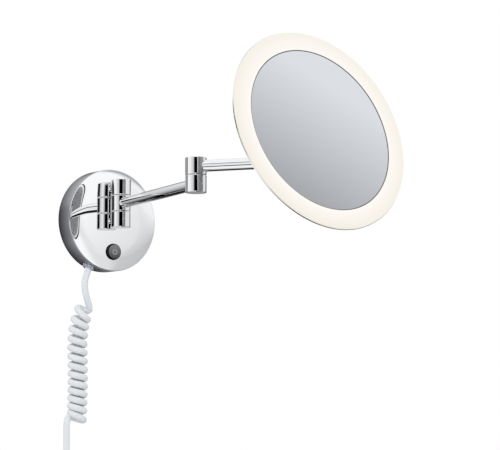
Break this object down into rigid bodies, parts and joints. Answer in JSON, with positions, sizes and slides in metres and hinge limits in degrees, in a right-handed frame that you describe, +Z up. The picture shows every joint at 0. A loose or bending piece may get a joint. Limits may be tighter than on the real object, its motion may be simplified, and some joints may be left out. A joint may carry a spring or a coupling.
{
  "type": "extendable shaving mirror",
  "caption": "Round lit shaving mirror on a double swivel arm with stacked barrel hinges, carried by a round wall rose with a push switch and a curly mains cord.",
  "frame": {"origin": "centre of the wall rose's back face, on the wall", "axes": "+Z up, +Y into the wall, the arm reaches out along -Y"},
  "size_m": [0.2108, 0.3929, 0.5875],
  "materials": {
    "polished_chrome": "mirror-bright chrome plating",
    "steel": "bright zinc-plated steel",
    "zinc_casting": "plain die-cast metal",
    "aluminium": "pressed sheet, satin",
    "white_plastic": "moulded, fine grain",
    "circuit_board": "white solder mask",
    "dark_plastic": "moulded, matt",
    "button_rubber": "matt silicone",
    "clear_plastic": "translucent, slightly blue",
    "nylon": "natural nylon",
    "light_acrylic": "opal, satin, lit warm white",
    "mirror_silver": "silvered glass",
    "cord_sheath": "smooth white sheath",
    "plug_plastic": "moulded white"
  },
  "bodies": {
    "rose": {"wall_plate": "zinc_casting", "rose_cover": "polished_chrome", "cover_grub_screw": "steel", "support_block": "zinc_casting", "shoulder_stud_upper": "polished_chrome", "shoulder_stud_lower": "polished_chrome", "shoulder_barrel_top": "polished_chrome", "shoulder_barrel_bottom": "polished_chrome", "shoulder_pin": "steel", "shoulder_washer_upper": "nylon", "shoulder_washer_lower": "nylon", "led_driver": "white_plastic", "terminal_block": "white_plastic", "switch_board": "circuit_board", "micro_switch": "dark_plastic", "button_guide": "dark_plastic", "cord_gland": "clear_plastic", "cord_lead_in": "cord_sheath", "cord_coil": "cord_sheath", "cord_tail": "cord_sheath", "plug_sleeve": "plug_plastic", "plug_body": "plug_plastic", "plug_pin_left": "steel", "plug_pin_right": "steel"},
    "button": {"push_button": "button_rubber"},
    "arm_1": {"shoulder_barrel_middle": "polished_chrome", "arm_1_tube": "polished_chrome", "arm_1_lead": "white_plastic", "elbow_barrel_lower": "polished_chrome", "elbow_pin": "steel", "elbow_washer": "nylon"},
    "arm_2": {"elbow_barrel_upper": "polished_chrome", "arm_2_tube": "polished_chrome", "arm_2_lead": "white_plastic", "head_barrel_lower": "polished_chrome", "head_pin": "steel", "head_washer": "nylon"},
    "yoke": {"head_knuckle": "polished_chrome", "tilt_pin": "polished_chrome", "tilt_nut": "polished_chrome", "tilt_washer_left": "nylon", "tilt_washer_right": "nylon"},
    "head": {"tilt_bracket": "polished_chrome", "bracket_screw_upper_left": "steel", "bracket_screw_upper_right": "steel", "bracket_screw_lower_left": "steel", "bracket_screw_lower_right": "steel", "rear_housing": "aluminium", "reflector_ring": "polished_chrome", "light_ring": "light_acrylic", "led_strip": "circuit_board", "mirror_carrier": "aluminium", "mirror_glass": "mirror_silver"}
  },
  "joints": [
    {"name": "button_press", "type": "slide", "parent": "rose", "child": "button", "axis": [0, 1, 0], "range_m": [0, 0.001], "stiffness_N_per_m": 1500, "springref_m": -0.0005},
    {"name": "shoulder_swivel", "type": "hinge", "parent": "rose", "child": "arm_1", "pos_m": [0, -0.0404, 0.0176], "axis": [0, 0, 1], "range_deg": [-70, 70]},
    {"name": "elbow_swivel", "type": "hinge", "parent": "arm_1", "child": "arm_2", "pos_m": [-0.03136, -0.22779, 0.02685], "axis": [0, 0, -1], "range_deg": [-95, 150]},
    {"name": "head_swivel", "type": "hinge", "parent": "arm_2", "child": "yoke", "pos_m": [0.02369, -0.31128, 0.04535], "axis": [0, 0, 1], "range_deg": [-50, 110]},
    {"name": "head_tilt", "type": "hinge", "parent": "yoke", "child": "head", "pos_m": [0.0233, -0.33127, 0.0532], "axis": [-0.9998, 0.0192, 0], "range_deg": [-40, 15]}
  ]
}
